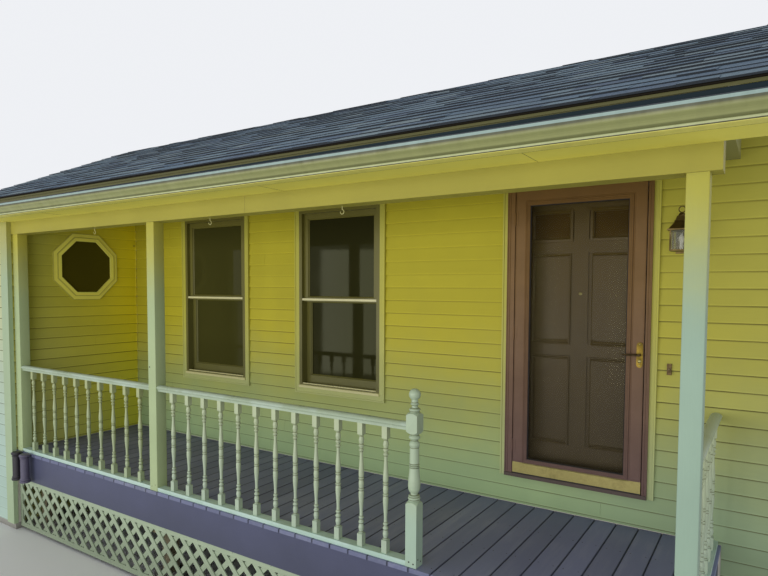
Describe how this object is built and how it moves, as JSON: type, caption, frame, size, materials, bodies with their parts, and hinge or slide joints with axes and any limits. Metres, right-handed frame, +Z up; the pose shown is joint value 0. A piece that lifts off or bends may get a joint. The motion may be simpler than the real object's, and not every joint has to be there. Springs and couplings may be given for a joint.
{
  "type": "entrance porch",
  "caption": "Covered entrance porch with turned balusters, lattice skirt, steps, eave and gutter, before a clapboard wall with windows, a storm door and an entry door",
  "frame": {"origin": "on the ground, at the foot of the house wall's foundation, in the middle of the wall's thickness and of the porch's width", "axes": "X runs along the wall to the right as seen from the front, Y runs into the house, Z is up"},
  "size_m": [6.461, 2.303, 3.8601],
  "materials": {
    "concrete": "rough cast",
    "siding": "painted, satin",
    "cream_paint": "painted, satin",
    "olive_paint": "painted, satin",
    "glass": "clear",
    "mauve_metal": "satin",
    "brass": "polished",
    "dark_bronze": "satin",
    "entry_paint": "painted, satin",
    "timber": "sawn",
    "deck_paint": "painted, worn",
    "purple_paint": "painted, satin",
    "eave_paint": "painted, satin",
    "gutter_metal": "satin",
    "shingles": "granular"
  },
  "bodies": {
    "porch": {"house_foundation": "concrete", "window_wall": "siding", "wall_over_door": "siding", "wall_under_door": "siding", "end_wall": "siding", "return_wall": "siding", "wing_wall": "siding", "corner_board": "cream_paint", "window_casings": "cream_paint", "window_frames": "olive_paint", "window_sashes": "olive_paint", "window_glass": "glass", "octagon_casing": "cream_paint", "door_casing": "cream_paint", "door_frame": "mauve_metal", "door_sill": "dark_bronze", "lantern": "dark_bronze", "lantern_glass": "glass", "bell_push": "dark_bronze", "piers": "concrete", "pier_posts": "timber", "deck_bearers": "timber", "deck_joists": "timber", "deck_floor": "deck_paint", "deck_fascia": "purple_paint", "fascia_blocks": "purple_paint", "front_lattice": "cream_paint", "side_lattice": "cream_paint", "stringers": "deck_paint", "treads": "deck_paint", "risers": "purple_paint", "porch_posts": "cream_paint", "newel_post": "cream_paint", "handrails": "cream_paint", "bottom_rails": "cream_paint", "left_balusters": "cream_paint", "front_balusters": "cream_paint", "side_balusters": "cream_paint", "front_beam": "eave_paint", "ceiling": "eave_paint", "end_panel": "eave_paint", "soffit": "eave_paint", "eave_board": "eave_paint", "gutter": "gutter_metal", "rafters": "timber", "roof_boards": "timber", "roofing": "shingles"},
    "storm_door": {"storm_door": "mauve_metal", "storm_glass": "glass", "kick_strip": "brass", "lever_plate": "brass"},
    "storm_lever": {"storm_lever": "dark_bronze"},
    "entry_door": {"entry_door": "entry_paint", "entry_glass": "glass", "entry_knob": "brass"}
  },
  "joints": [
    {"name": "storm_hinge", "type": "hinge", "parent": "porch", "child": "storm_door", "pos_m": [1.5605, -0.117, 1.989], "axis": [0, 0, -1], "range_deg": [0, 100]},
    {"name": "lever_turn", "type": "hinge", "parent": "storm_door", "child": "storm_lever", "pos_m": [2.3995, -0.13, 1.887], "axis": [0, 1, 0], "range_deg": [-35, 0], "stiffness_Nm_per_rad": 0.3},
    {"name": "entry_hinge", "type": "hinge", "parent": "porch", "child": "entry_door", "pos_m": [1.5265, 0.082, 1.989], "axis": [0, 0, 1], "range_deg": [0, 95]}
  ]
}
